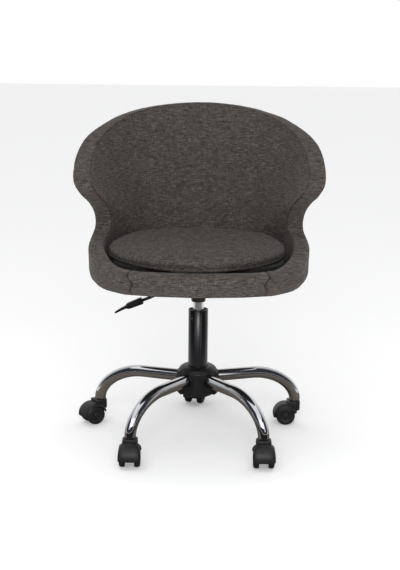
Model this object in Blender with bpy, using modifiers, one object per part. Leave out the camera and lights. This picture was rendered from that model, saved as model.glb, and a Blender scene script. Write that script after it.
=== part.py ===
"""Adjustable swivel stool: an upholstered tub seat on a gas lift over a five-leg caster base.

Metres, +Z up, the swivel axis is the Z axis, the floor is z = 0 and the sitter faces -Y.
"""
import math

import bmesh
import bpy
from mathutils import Matrix, Vector

# ---- driving dimensions ----
CLEARANCE = 0.0003          # gap between touching pieces
LEG_COUNT = 5
STEM_CIRCLE = 0.2725        # radius of the circle of caster stems
LEG_AXIS_Z = 0.1510         # leg centre line where it leaves the hub
LEG_HALF = (0.0150, 0.0160)     # leg half width and half height at the hub
LEG_END_SCALE = 0.90        # section scale at the caster end
LEG_END_Z = 0.0660
LEG_WALL = 0.0016
CIRCLE_HANDLE = 0.5523      # Bezier handle length that draws a quarter of a circle

HUB_BOTTOM, HUB_TOP = 0.1070, 0.1835
HUB_RADIUS = 0.0510
COLUMN_RADIUS, COLUMN_BORE = 0.0250, 0.0230
COLUMN_BOTTOM, COLUMN_TOP = 0.1000, 0.3310
CYLINDER_RADIUS = 0.0140
CYLINDER_BOTTOM, CYLINDER_TOP = 0.1335, 0.3900
ROD_RADIUS = 0.0050

WHEEL_RADIUS = 0.0250
WHEEL_INNER, WHEEL_OUTER = 0.0095, 0.0265   # distances of the wheel's faces from mid-plane
WHEEL_SIDES = 18
CASTER_TRAIL = 0.0240
HOOD_RADIUS = 0.0325
HOOD_TOP = 0.0635
BOSS_RADIUS = 0.0145        # rounded back of the hood's stem boss
AXLE_RADIUS = 0.0030
STEM_RADIUS = 0.0055
CASTER_HEADINGS = (-90, 180, 252, 215, -90)     # way each caster trails, degrees from +X

LEVER_PIVOT = Vector((-0.0320, 0.0, 0.4000))
LEVER_ROD_RADIUS = 0.0040

BOARD_BOTTOM, BOARD_TOP = 0.4130, 0.4252
WALL_FOOT_Z = 0.4255        # where the padded wall stands on the board
WALL_DEPTH = 0.0440         # whole thickness of the padded wall
OUTER_PAD, INNER_PAD = 0.0090, 0.0230
POCKET_GAP = 0.0022         # between the frame and each side of its pocket
POCKET_MARGIN = 0.0060      # foam between the pocket's end and the rim's rounding
POCKET_ROWS = (0.0, 0.33, 0.67, 1.0)
RIM_ROUNDING = 0.0180
PAD_GAP = 0.0160            # slack around the deck pad, inside the wall
FOOT_HALF_WIDTH, FOOT_FRONT, FOOT_BACK = 0.2740, 0.2500, 0.2400
PLAN_POWER = 2.7            # 2 is an ellipse, larger is squarer
CUSHION_HALF = (0.2240, 0.2140)
CUSHION_CENTRE_Y = -0.0200
CUSHION_BOTTOM, CUSHION_TOP = 0.4700, 0.5090
PLATE_HALF = 0.0800
PLATE_Z = (0.4095, 0.4127)
BOLT_HALF_SPACING = 0.0650

for leftover in list(bpy.data.objects):
    bpy.data.objects.remove(leftover, do_unlink=True)

PARTS = bpy.data.collections.new("adjustable_swivel_stool")
CUTTERS = bpy.data.collections.new("cutters")
for collection in (PARTS, CUTTERS):
    bpy.context.scene.collection.children.link(collection)


# ---- shared makers ----
def material(name, colour, roughness, metallic=0.0):
    made = bpy.data.materials.new(name)
    made.use_nodes = True
    shader = made.node_tree.nodes["Principled BSDF"]
    shader.inputs["Base Color"].default_value = (*colour, 1.0)
    shader.inputs["Roughness"].default_value = roughness
    shader.inputs["Metallic"].default_value = metallic
    return made


CHROME = (0.78, 0.79, 0.80)
STEEL = (0.42, 0.43, 0.44)
BLACK_PLASTIC = (0.030, 0.030, 0.032)
FABRIC = (0.105, 0.095, 0.088)


def place(name, mesh, finish, parent=None, location=(0, 0, 0), turn=0.0):
    """Adds a mesh to the parts with its own material, turned about Z."""
    mesh.name = name
    piece = bpy.data.objects.new(name, mesh)
    PARTS.objects.link(piece)
    piece.parent = parent
    piece.location = location
    piece.rotation_euler.z = turn
    if not mesh.materials:
        mesh.materials.append(material(name, *finish))
    mesh.shade_smooth()
    mesh.set_sharp_from_angle(angle=math.radians(40))
    return piece


def cutter(name, mesh):
    guide = bpy.data.objects.new(name, mesh)
    CUTTERS.objects.link(guide)
    guide.hide_render = True
    guide.display_type = "WIRE"
    return guide


def combine(piece, other, operation="DIFFERENCE"):
    step = piece.modifiers.new(other.name, "BOOLEAN")
    step.operation = operation
    step.solver = "EXACT"
    step.object = other


def baked(piece):
    """Returns the finished mesh of a piece and removes the piece."""
    bpy.context.view_layer.update()
    seen = piece.evaluated_get(bpy.context.evaluated_depsgraph_get())
    mesh = bpy.data.meshes.new_from_object(seen)
    bpy.data.objects.remove(piece, do_unlink=True)
    return mesh


def scratch(name, mesh):
    """A piece that is shaped by modifiers and then baked."""
    piece = bpy.data.objects.new(name, mesh)
    PARTS.objects.link(piece)
    return piece


def empty(name, location=(0, 0, 0), parent=None, turn=0.0):
    made = bpy.data.objects.new(name, None)
    PARTS.objects.link(made)
    made.location = location
    made.parent = parent
    made.rotation_euler.z = turn
    made.empty_display_size = 0.02
    return made


def cylinder_mesh(name, radius, low, high, sides=24, top_radius=None):
    """A cylinder or cone along Z from low to high."""
    shape = bmesh.new()
    middle = Matrix.Translation((0, 0, (low + high) / 2))
    bmesh.ops.create_cone(shape, cap_ends=True, segments=sides, radius1=radius,
                          radius2=radius if top_radius is None else top_radius,
                          depth=high - low, matrix=middle)
    mesh = bpy.data.meshes.new(name)
    shape.to_mesh(mesh)
    shape.free()
    return mesh


def box_mesh(name, low, high, rounding=0.0):
    shape = bmesh.new()
    low, high = Vector(low), Vector(high)
    bmesh.ops.create_cube(shape, size=1.0)
    bmesh.ops.scale(shape, vec=high - low, verts=shape.verts)
    bmesh.ops.translate(shape, vec=(low + high) / 2, verts=shape.verts)
    if rounding:
        bmesh.ops.bevel(shape, geom=shape.edges[:], offset=rounding, segments=2, profile=0.5,
                        affect="EDGES")
    mesh = bpy.data.meshes.new(name)
    shape.to_mesh(mesh)
    shape.free()
    return mesh


def turned_mesh(name, profile, sides=24):
    """Turns (radius, height) points about Z; a profile off the axis is a closed ring."""
    ring = all(radius > 0 for radius, height in profile)
    verts = [(radius, 0, height) for radius, height in profile]
    edges = [(i, i + 1) for i in range(len(verts) - 1)]
    if ring:
        edges.append((len(verts) - 1, 0))
    mesh = bpy.data.meshes.new(name)
    mesh.from_pydata(verts, edges, [])
    piece = scratch(name, mesh)
    turn = piece.modifiers.new("turn", "SCREW")
    turn.steps = turn.render_steps = sides
    turn.use_merge_vertices = True
    turn.merge_threshold = 0.00005
    return baked(piece)


def sleeve_mesh(name, outer, inner, low, high, sides=24):
    return turned_mesh(name, [(outer, high), (outer, low), (inner, low), (inner, high)], sides)


def outline_plate(name, outline, low, high):
    """A flat plate: an outline in plan between two heights."""
    shape = bmesh.new()
    face = shape.faces.new([shape.verts.new((x, y, low)) for x, y in outline])
    raised = bmesh.ops.extrude_face_region(shape, geom=[face])["geom"]
    corners = [item for item in raised if isinstance(item, bmesh.types.BMVert)]
    bmesh.ops.translate(shape, vec=(0, 0, high - low), verts=corners)
    bmesh.ops.recalc_face_normals(shape, faces=shape.faces)
    mesh = bpy.data.meshes.new(name)
    shape.to_mesh(mesh)
    shape.free()
    return mesh


def joined_cutter(name, meshes):
    shape = bmesh.new()
    for mesh in meshes:
        shape.from_mesh(mesh)
    joined = bpy.data.meshes.new(name)
    shape.to_mesh(joined)
    shape.free()
    return cutter(name, joined)


# ---- base: hub, legs and their sockets ----
base_frame = empty("base_frame")
leg_turns = [math.radians(-90 + 36 + 72 * i) for i in range(LEG_COUNT)]


def oval_bar(name, half_width, half_height, inner, outer, turn):
    """An oval bar that runs outward from the axis at the legs' height."""
    mesh = cylinder_mesh(name, 1.0, inner, outer, 16)
    mesh.transform(Matrix.Diagonal((half_height, half_width, 1, 1)))
    mesh.transform(Matrix.Rotation(math.radians(90), 4, "Y"))
    mesh.transform(Matrix.Rotation(turn, 4, "Z"))
    mesh.transform(Matrix.Translation((0, 0, LEG_AXIS_Z)))
    return mesh


def make_hub():
    """A moulded hub: a round body, a lip around each leg socket and a bore for the column."""
    profile = [(0.0, HUB_TOP), (0.0310, HUB_TOP), (0.0400, 0.1820), (0.0475, 0.1765),
               (HUB_RADIUS, 0.1670), (HUB_RADIUS, 0.1280), (0.0465, 0.1120), (0.0400, HUB_BOTTOM),
               (0.0, HUB_BOTTOM)]
    hub = scratch("hub", turned_mesh("hub", profile, 30))
    width, height = LEG_HALF
    lip, play = 0.0032, CLEARANCE
    lips = [oval_bar("lip", width + lip, height + lip, 0.0300, 0.0545, t) for t in leg_turns]
    for index, mesh in enumerate(lips):
        combine(hub, cutter(f"socket_lip_{index + 1}", mesh), "UNION")
    sockets = [oval_bar("socket", width + play, height + play, 0.0285, 0.0800, t) for t in leg_turns]
    combine(hub, joined_cutter("leg_sockets", sockets))
    bore = cylinder_mesh("bore", COLUMN_RADIUS + CLEARANCE, 0.05, 0.25, 32)
    combine(hub, cutter("column_bore", bore))
    place("base_hub", baked(hub), (BLACK_PLASTIC, 0.45), base_frame)


def make_legs():
    """Five bent oval tubes; each runs level out of the hub and turns down over its caster."""
    section = bpy.data.curves.new("leg_section", "CURVE")
    section.dimensions = "2D"
    oval = section.splines.new("BEZIER")
    oval.bezier_points.add(3)
    for quarter, point in enumerate(oval.bezier_points):
        across, up = math.cos(quarter * math.pi / 2), math.sin(quarter * math.pi / 2)
        spot = Vector((across * LEG_HALF[0], up * LEG_HALF[1], 0))
        reach = Vector((-up * LEG_HALF[0], across * LEG_HALF[1], 0)) * CIRCLE_HANDLE
        point.handle_left_type = point.handle_right_type = "FREE"
        point.co, point.handle_left, point.handle_right = spot, spot - reach, spot + reach
    oval.use_cyclic_u = True
    oval.resolution_u = 3
    guide = cutter("leg_section", section)

    path = bpy.data.curves.new("leg_path", "CURVE")
    path.dimensions = "3D"
    path.bevel_mode = "OBJECT"
    path.bevel_object = guide
    spline = path.splines.new("BEZIER")
    spline.bezier_points.add(2)
    spline.resolution_u = 4
    stations = (((0.0300, LEG_AXIS_Z), (0.0, LEG_AXIS_Z), (0.0700, LEG_AXIS_Z), 1.0),
                ((0.1500, LEG_AXIS_Z), (0.1100, LEG_AXIS_Z), (0.2150, LEG_AXIS_Z), 0.97),
                ((STEM_CIRCLE, LEG_END_Z), (STEM_CIRCLE, 0.1100), (STEM_CIRCLE, 0.0300),
                 LEG_END_SCALE))
    for point, (middle, before, after, scale) in zip(spline.bezier_points, stations):
        point.co = (middle[0], 0, middle[1])
        point.handle_left = (before[0], 0, before[1])
        point.handle_right = (after[0], 0, after[1])
        point.radius = scale
    leg = bpy.data.objects.new("leg", path)
    PARTS.objects.link(leg)
    wall = leg.modifiers.new("wall", "SOLIDIFY")
    wall.thickness = LEG_WALL
    wall.offset = 1.0       # the swept tube faces its own middle, so this keeps the outer size
    tube = baked(leg)
    for index, turn in enumerate(leg_turns):
        place(f"leg_{index + 1}", tube.copy(), (CHROME, 0.08, 1.0), base_frame, turn=turn)


def make_caster_mounts():
    """A steel socket in each leg's open end, with the caster's fixed stem pressed into it."""
    socket = turned_mesh("socket", [(0.0074, 0.0740), (0.0110, 0.0662), (0.0110, 0.0645),
                                    (0.0058, 0.0645), (0.0058, 0.0740)], 12)
    stem = turned_mesh("stem", [(0.0, 0.0750), (0.0045, 0.0750), (STEM_RADIUS, 0.0735),
                                (STEM_RADIUS, 0.0390), (0.0, 0.0380)], 12)
    for index, turn in enumerate(leg_turns):
        spot = (STEM_CIRCLE * math.cos(turn), STEM_CIRCLE * math.sin(turn), 0)
        place(f"caster_socket_{index + 1}", socket.copy(), (CHROME, 0.20, 1.0), base_frame, spot)
        place(f"caster_stem_{index + 1}", stem.copy(), (STEEL, 0.30, 1.0), base_frame, spot)


# ---- casters: hood, axle and two wheels each ----
def hood_mesh():
    """A closed hood: a round guard over both wheels, a web between them and a stem boss."""
    stand = Matrix.Translation((CASTER_TRAIL, 0, WHEEL_RADIUS)) @ Matrix.Rotation(math.pi / 2, 4, "X")
    half = WHEEL_OUTER + 0.0005
    guard = cylinder_mesh("guard", HOOD_RADIUS, -half, half, 22)
    guard.transform(stand)
    hood = scratch("hood", guard)
    boss = box_mesh("boss", (-0.0040, -0.0185, 0.0200), (0.0200, 0.0185, HOOD_TOP), 0.0040)
    combine(hood, cutter("hood_boss", boss), "UNION")
    back = turned_mesh("back", [(0.0, HOOD_TOP), (BOSS_RADIUS - 0.0030, HOOD_TOP),
                                (BOSS_RADIUS, HOOD_TOP - 0.0030), (BOSS_RADIUS, 0.0200),
                                (0.0, 0.0200)])
    combine(hood, cutter("hood_boss_back", back), "UNION")
    open_foot = box_mesh("foot", (-0.06, -0.06, -0.02), (0.10, 0.06, 0.0120))
    combine(hood, cutter("hood_foot", open_foot))
    open_heel = box_mesh("heel", (-0.06, -0.06, -0.02), (0.0160, 0.06, 0.0350))
    combine(hood, cutter("hood_heel", open_heel))
    for side in (-1, 1):
        near, far = sorted((side * (WHEEL_INNER - 0.001), side * 0.060))
        pocket = cylinder_mesh("pocket", WHEEL_RADIUS + 0.0013, near, far, 22)
        pocket.transform(stand)
        combine(hood, cutter(f"wheel_pocket_{side + 1}", pocket))
    stem_bore = cylinder_mesh("stem_bore", STEM_RADIUS + 0.0002, 0.0370, 0.10, 16)
    combine(hood, cutter("stem_bore", stem_bore))
    axle_bore = cylinder_mesh("axle_bore", AXLE_RADIUS + 0.0001, -0.04, 0.04, 12)
    axle_bore.transform(stand)
    combine(hood, cutter("axle_bore", axle_bore))
    return baked(hood)


def wheel_mesh():
    """A wheel about its own axis (Z), outer face up, with a round cap and a flat facet below."""
    tread = WHEEL_RADIUS / math.cos(math.pi / WHEEL_SIDES)
    width = WHEEL_OUTER - WHEEL_INNER
    bore = AXLE_RADIUS + 0.0001
    profile = [(bore, width), (0.0090, width), (0.0105, width - 0.0020), (tread - 0.0030, width - 0.0010),
               (tread, width - 0.0050), (tread, 0.0), (bore, 0.0)]
    return turned_mesh("wheel", profile, WHEEL_SIDES)


def make_casters():
    hood = hood_mesh()
    wheel = wheel_mesh()
    axle = cylinder_mesh("axle", AXLE_RADIUS, -0.0255, 0.0255, 12)
    axle.transform(Matrix.Rotation(math.pi / 2, 4, "X"))
    for index, turn in enumerate(leg_turns):
        number = index + 1
        spot = (STEM_CIRCLE * math.cos(turn), STEM_CIRCLE * math.sin(turn), 0)
        heading = math.radians(CASTER_HEADINGS[index])
        swivel = empty(f"caster_axis_{number}", spot, base_frame, heading)
        centre = (CASTER_TRAIL, 0, WHEEL_RADIUS)
        place(f"caster_hood_{number}", hood.copy(), (BLACK_PLASTIC, 0.50), swivel)
        place(f"caster_axle_{number}", axle.copy(), (STEEL, 0.30, 1.0), swivel, centre)
        for side, tilt in (("left", -90), ("right", 90)):
            mesh = wheel.copy()
            mesh.transform(Matrix.Translation((0, 0, WHEEL_INNER)))
            mesh.transform(Matrix.Rotation(math.radians(tilt), 4, "X"))
            place(f"caster_wheel_{side}_{number}", mesh, (BLACK_PLASTIC, 0.55), swivel, centre)


# ---- gas lift ----
seat_axis = empty("seat_axis", parent=base_frame)


def make_column():
    """The fixed column: tube with a closed foot, guide bush at the top, bearing at the foot."""
    foot = COLUMN_BOTTOM + 0.0030
    tube = [(COLUMN_BORE, COLUMN_TOP), (COLUMN_RADIUS, COLUMN_TOP), (COLUMN_RADIUS, COLUMN_BOTTOM),
            (0.0062, COLUMN_BOTTOM), (0.0062, foot), (COLUMN_BORE, foot)]
    place("column_tube", turned_mesh("tube", tube, 32), (BLACK_PLASTIC, 0.30), base_frame)
    bush = sleeve_mesh("bush", COLUMN_BORE - CLEARANCE, CYLINDER_RADIUS + 0.0002, 0.2550, 0.3300, 28)
    place("guide_bush", bush, ((0.05, 0.05, 0.05), 0.60), base_frame)
    race = sleeve_mesh("race", 0.0150, 0.0063, foot + CLEARANCE, foot + 0.0018)
    place("thrust_race_lower", race, (STEEL, 0.25, 1.0), base_frame)
    cage = sleeve_mesh("cage", 0.0145, 0.0070, foot + 0.0021, foot + 0.0051)
    place("ball_cage", cage, ((0.55, 0.42, 0.18), 0.35, 1.0), base_frame)


def make_spindle():
    """The rod that turns with the seat: piston inside the cylinder, collar on the bearing."""
    foot = COLUMN_BOTTOM + 0.0030
    race = sleeve_mesh("race", 0.0150, ROD_RADIUS + 0.0002, foot + 0.0054, foot + 0.0070)
    place("thrust_race_upper", race, (STEEL, 0.25, 1.0), seat_axis)
    collar = foot + 0.0073
    rod = [(0.0, 0.2550), (0.0116, 0.2550), (0.0116, 0.2430), (ROD_RADIUS, 0.2430),
           (ROD_RADIUS, collar + 0.0020), (0.0080, collar + 0.0020), (0.0080, collar),
           (ROD_RADIUS, collar), (ROD_RADIUS, 0.0965), (0.0, 0.0965)]
    place("piston_rod", turned_mesh("rod", rod), (CHROME, 0.12, 1.0), seat_axis)
    bumper = sleeve_mesh("bumper", 0.0180, ROD_RADIUS + 0.0003, collar + 0.0023, 0.1305)
    place("rubber_bumper", bumper, ((0.02, 0.02, 0.02), 0.85), seat_axis)
    clip = sleeve_mesh("clip", 0.0090, ROD_RADIUS + 0.0002, 0.0978, 0.0992, 16)
    place("retaining_clip", clip, (STEEL, 0.30, 1.0), seat_axis)


def make_cylinder():
    """The chromed gas cylinder, open below around the rod, and its release pin on top."""
    cavity_top = CYLINDER_TOP - 0.0100
    body = [(0.0027, CYLINDER_TOP), (0.0132, CYLINDER_TOP), (CYLINDER_RADIUS, CYLINDER_TOP - 0.0300),
            (CYLINDER_RADIUS, CYLINDER_BOTTOM), (ROD_RADIUS + 0.0002, CYLINDER_BOTTOM),
            (ROD_RADIUS + 0.0002, CYLINDER_BOTTOM + 0.0065), (0.0122, CYLINDER_BOTTOM + 0.0065),
            (0.0122, cavity_top), (0.0027, cavity_top)]
    place("gas_cylinder", turned_mesh("cylinder", body, 28), (CHROME, 0.10, 1.0), seat_axis)
    pin_top = LEVER_PIVOT.z - LEVER_ROD_RADIUS - 0.0006
    pin = [(0.0, pin_top), (0.0018, pin_top), (0.0025, pin_top - 0.0008),
           (0.0025, cavity_top - CLEARANCE), (0.0050, cavity_top - CLEARANCE),
           (0.0050, cavity_top - 0.0040), (0.0, cavity_top - 0.0040)]
    place("release_pin", turned_mesh("pin", pin, 16), (STEEL, 0.35, 1.0), seat_axis)


# ---- swivel mechanism under the seat ----
def bolt_spots():
    return [(x * BOLT_HALF_SPACING, y * BOLT_HALF_SPACING) for x in (-1, 1) for y in (-1, 1)]


def bolt_holes(name):
    holes = []
    for x, y in bolt_spots():
        hole = cylinder_mesh("hole", 0.0034, 0.30, 0.60, 12)
        hole.transform(Matrix.Translation((x, y, 0)))
        holes.append(hole)
    return joined_cutter(name, holes)


def make_mechanism():
    """A pressed plate with a taper cup for the cylinder and a bracket for the lever."""
    low, high = PLATE_Z
    plate = box_mesh("plate", (-PLATE_HALF, -PLATE_HALF, low), (PLATE_HALF, PLATE_HALF, high))
    mechanism = scratch("mechanism", plate)
    web_low, web_high = 0.3720, 0.3750
    for side in (-1, 1):
        near, far = sorted((side * 0.0225, side * 0.0255))
        wall = box_mesh("wall", (-0.0550, near, web_low), (0.0450, far, low + 0.0010))
        combine(mechanism, cutter(f"bracket_wall_{side + 1}", wall), "UNION")
    web = box_mesh("web", (-0.0550, -0.0240, web_low), (0.0450, 0.0240, web_high))
    combine(mechanism, cutter("bracket_web", web), "UNION")
    cup = cylinder_mesh("cup", 0.0178, 0.3515, 0.3880, 28, 0.0215)
    combine(mechanism, cutter("taper_cup", cup), "UNION")
    bore = cylinder_mesh("bore", CYLINDER_RADIUS + 0.0002, 0.3400, 0.3950, 28)
    combine(mechanism, cutter("taper_bore", bore))
    pivot = cylinder_mesh("pivot", 0.0027, -0.04, 0.04, 12)
    pivot.transform(Matrix.Translation(LEVER_PIVOT) @ Matrix.Rotation(math.pi / 2, 4, "X"))
    combine(mechanism, cutter("pivot_holes", pivot))
    combine(mechanism, bolt_holes("plate_holes"))
    place("mechanism_plate", baked(mechanism), ((0.035, 0.035, 0.037), 0.45, 0.6), seat_axis)
    bolt = turned_mesh("bolt", [(0.0, BOARD_TOP - 0.0020), (0.0030, BOARD_TOP - 0.0020),
                                (0.0030, low - CLEARANCE), (0.0062, low - CLEARANCE),
                                (0.0062, low - 0.0045), (0.0, low - 0.0045)], 12)
    for index, (x, y) in enumerate(bolt_spots()):
        place(f"mounting_bolt_{index + 1}", bolt.copy(), (STEEL, 0.35, 1.0), seat_axis, (x, y, 0))


def make_lever():
    """The height lever: a bent rod on a cross pivot, and a flat grip with a curved tail."""
    axis = empty("lever_axis", LEVER_PIVOT, seat_axis)
    back = Matrix.Translation(-LEVER_PIVOT)

    def rod_mesh(name, radius, points):
        curve = bpy.data.curves.new(name, "CURVE")
        curve.dimensions = "3D"
        curve.bevel_depth = radius
        curve.bevel_resolution = 2
        curve.use_fill_caps = True
        spline = curve.splines.new("BEZIER")
        spline.bezier_points.add(len(points) - 1)
        spline.resolution_u = 4
        for point, (x, z) in zip(spline.bezier_points, points):
            point.co = (x, 0, z)
            point.handle_left_type = point.handle_right_type = "AUTO"
        piece = bpy.data.objects.new(name, curve)
        PARTS.objects.link(piece)
        weld = piece.modifiers.new("weld", "WELD")
        weld.merge_threshold = 0.00005
        return baked(piece)

    route = [(0.0080, 0.4000), (-0.0320, 0.4000), (-0.0500, 0.3980), (-0.0850, 0.3780),
             (-0.1150, 0.3630), (-0.1560, 0.3460)]
    rod = scratch("rod", rod_mesh("rod", LEVER_ROD_RADIUS, route))
    trunnion = cylinder_mesh("trunnion", 0.0025, -0.0275, 0.0275, 12)
    trunnion.transform(Matrix.Translation(LEVER_PIVOT) @ Matrix.Rotation(math.pi / 2, 4, "X"))
    combine(rod, cutter("trunnion", trunnion), "UNION")
    rod = baked(rod)
    rod.transform(back)
    place("lever_rod", rod, ((0.03, 0.03, 0.032), 0.35, 0.8), axis)

    stations = ((-0.1430, 0.3513, 0.0070, 0.0050), (-0.1500, 0.3484, 0.0105, 0.0056),
                (-0.1800, 0.3362, 0.0115, 0.0052), (-0.1880, 0.3325, 0.0090, 0.0034),
                (-0.2020, 0.3248, 0.0060, 0.0022), (-0.2130, 0.3180, 0.0035, 0.0016))
    shape = bmesh.new()
    rings = []
    sides = 12
    for x, z, half_y, half_z in stations:
        ring = []
        for k in range(sides):
            angle = 2 * math.pi * k / sides
            ring.append(shape.verts.new((x, half_y * math.cos(angle), z + half_z * math.sin(angle))))
        rings.append(ring)
    for first, second in zip(rings, rings[1:]):
        for k in range(sides):
            shape.faces.new((first[k], first[(k + 1) % sides], second[(k + 1) % sides], second[k]))
    shape.faces.new(rings[0])
    shape.faces.new(rings[-1])
    bmesh.ops.recalc_face_normals(shape, faces=shape.faces)
    mesh = bpy.data.meshes.new("grip")
    shape.to_mesh(mesh)
    shape.free()
    grip = scratch("grip", mesh)
    combine(grip, cutter("grip_bore", rod_mesh("grip_bore", LEVER_ROD_RADIUS + 0.0003, [
        (-0.0850, 0.3780), (-0.1150, 0.3630), (-0.1565, 0.3458)])))
    grip = baked(grip)
    grip.transform(back)
    place("lever_handle", grip, (BLACK_PLASTIC, 0.40), axis)


# ---- padded tub: one closed wall around the seat, high at the back, winged at the sides ----
# Rim of the wall's outer face, from the front centre round the right side to the back centre.
RIM = [(0.0000, -0.2450, 0.4670), (0.1300, -0.2430, 0.4675), (0.2060, -0.2020, 0.4700),
       (0.2520, -0.1250, 0.4810), (0.2750, -0.0350, 0.4960), (0.2770, 0.0300, 0.5080),
       (0.2680, 0.0620, 0.5320), (0.2680, 0.0520, 0.5620), (0.2770, 0.0120, 0.5960),
       (0.2960, -0.0280, 0.6260), (0.3095, -0.0360, 0.6550), (0.3140, -0.0080, 0.6830),
       (0.3120, 0.0480, 0.7160), (0.3000, 0.1080, 0.7480), (0.2710, 0.1700, 0.7760),
       (0.2200, 0.2260, 0.8040), (0.1500, 0.2640, 0.8240), (0.0750, 0.2810, 0.8350),
       (0.0000, 0.2860, 0.8390)]
# Angle around the foot, from the front, at which the wall under each rim point starts.
FOOT_ANGLES = (0, 28, 44, 60, 78, 94, 107, 120, 132, 141, 148, 153, 157, 161, 165, 169, 173, 176.5, 180)
RIM_POWER = 2.6
RIM_HALF = (0.3120, 0.2860)     # plan ellipse that the rim's outward directions follow
FOOT_PULL, RIM_PULL = 0.60, 0.30    # how firmly the wall leaves its foot and meets its rim


def foot_point(angle):
    """A point on the squared oval of the foot, measured from the front centre."""
    across, along = math.sin(math.radians(angle)), -math.cos(math.radians(angle))
    power = 2 / PLAN_POWER
    reach = FOOT_FRONT if along < 0 else FOOT_BACK
    x = math.copysign(abs(across) ** power, across) * FOOT_HALF_WIDTH
    y = math.copysign(abs(along) ** power, along) * reach
    return Vector((x, y, WALL_FOOT_Z))


def closed_loop(right_half):
    """Mirrors the right half into a loop that starts at the front centre."""
    left_half = [Vector((-p.x, p.y, p.z)) for p in reversed(right_half[1:-1])]
    return right_half + left_half


RIM_LOOP = closed_loop([Vector(point) for point in RIM])
FOOT_LOOP = closed_loop([foot_point(angle) for angle in FOOT_ANGLES])


def along_loop(loop, s):
    """Catmull-Rom point at s, counted in control points around the loop."""
    start = math.floor(s)
    f = s - start
    a, b, c, d = (loop[(start + k) % len(loop)] for k in (-1, 0, 1, 2))
    return 0.5 * ((2 * b) + (c - a) * f + (2 * a - 5 * b + 4 * c - d) * f * f
                  + (3 * b - a - 3 * c + d) * f * f * f)


def outward(point):
    x, y = point.x / RIM_HALF[0], point.y / RIM_HALF[1]
    power = RIM_POWER - 1
    return Vector((math.copysign(abs(x) ** power, x) / RIM_HALF[0],
                   math.copysign(abs(y) ** power, y) / RIM_HALF[1], 0)).normalized()


def wall_point(s, t):
    """The wall's outer face: t runs from 0 at the foot to 1 at the rim."""
    foot, rim = along_loop(FOOT_LOOP, s), along_loop(RIM_LOOP, s)
    length = (rim - foot).length
    along = (along_loop(RIM_LOOP, s + 0.05) - along_loop(RIM_LOOP, s - 0.05)).normalized()
    leave = Vector((0, 0, FOOT_PULL * length))
    arrive = outward(rim).cross(along).normalized() * RIM_PULL * length
    square, cube = t * t, t * t * t
    return (foot * (2 * cube - 3 * square + 1) + leave * (cube - 2 * square + t)
            + rim * (3 * square - 2 * cube) + arrive * (cube - square))


def inside_wall(s, t, depth):
    """A point at a level depth under the outer face."""
    point = wall_point(s, t)
    return point - outward(point) * depth


def wall_length(s):
    return (along_loop(RIM_LOOP, s) - along_loop(FOOT_LOOP, s)).length


COLUMNS = 54


def wall_ring_mesh(name, section):
    """Sweeps a closed section, a list of points for each s, once around the tub.

    The wall is twisted, so each patch is split the same way in every layer to keep them apart.
    """
    shape = bmesh.new()
    rings = []
    for column in range(COLUMNS):
        points = section(column * len(RIM_LOOP) / COLUMNS)
        rings.append([shape.verts.new(point) for point in points])
    count = len(rings[0])
    for column in range(COLUMNS):
        here, after = rings[column], rings[(column + 1) % COLUMNS]
        for k in range(count):
            up = (k + 1) % count
            shape.faces.new((here[k], after[k], after[up]))
            shape.faces.new((here[k], after[up], here[up]))
    bmesh.ops.recalc_face_normals(shape, faces=shape.faces)
    mesh = bpy.data.meshes.new(name)
    shape.to_mesh(mesh)
    shape.free()
    return mesh


def upholstery_section(s):
    """Foam and cover over both faces and the rim, with an open pocket for the frame."""
    length = wall_length(s)
    curve = 1 - RIM_ROUNDING / length
    corner = curve + 0.7 * RIM_ROUNDING / length
    bevel = 0.3 * RIM_ROUNDING
    pocket_top = 1 - (RIM_ROUNDING + POCKET_MARGIN) / length
    drop = Vector((0, 0, BOARD_BOTTOM - WALL_FOOT_Z))
    lip_outer = inside_wall(s, 0, 0) + drop
    lip_inner = inside_wall(s, 0, OUTER_PAD) + drop
    outer = [inside_wall(s, curve * f, 0) for f in (0.0, 0.25, 0.5, 0.75, 1.0)]
    rim = [inside_wall(s, corner, bevel), inside_wall(s, 1.0, RIM_ROUNDING),
           inside_wall(s, 1.0, WALL_DEPTH - RIM_ROUNDING), inside_wall(s, corner, WALL_DEPTH - bevel)]
    inner = [inside_wall(s, curve * f, WALL_DEPTH) for f in (1.0, 0.75, 0.5, 0.25, 0.0)]
    up = [inside_wall(s, pocket_top * f, WALL_DEPTH - INNER_PAD) for f in POCKET_ROWS]
    down = [inside_wall(s, pocket_top * f, OUTER_PAD) for f in reversed(POCKET_ROWS)]
    return [lip_outer] + outer + rim + inner + up + down + [lip_inner]


def frame_section(s):
    """The moulded frame inside the pocket."""
    pocket_top = 1 - (RIM_ROUNDING + POCKET_MARGIN) / wall_length(s)
    top = pocket_top - POCKET_GAP / (RIM_PULL * wall_length(s))
    shallow, deep = OUTER_PAD + POCKET_GAP, WALL_DEPTH - INNER_PAD - POCKET_GAP
    foot = Vector((0, 0, CLEARANCE))
    rows = [pocket_top * f for f in POCKET_ROWS[:-1]] + [top]
    up = [inside_wall(s, t, deep) + foot for t in rows]
    down = [inside_wall(s, t, shallow) + foot for t in reversed(rows)]
    return up + down


def foot_outline(depth):
    spots = [inside_wall(column * len(RIM_LOOP) / COLUMNS, 0, depth) for column in range(COLUMNS)]
    return [(spot.x, spot.y) for spot in spots]


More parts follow.
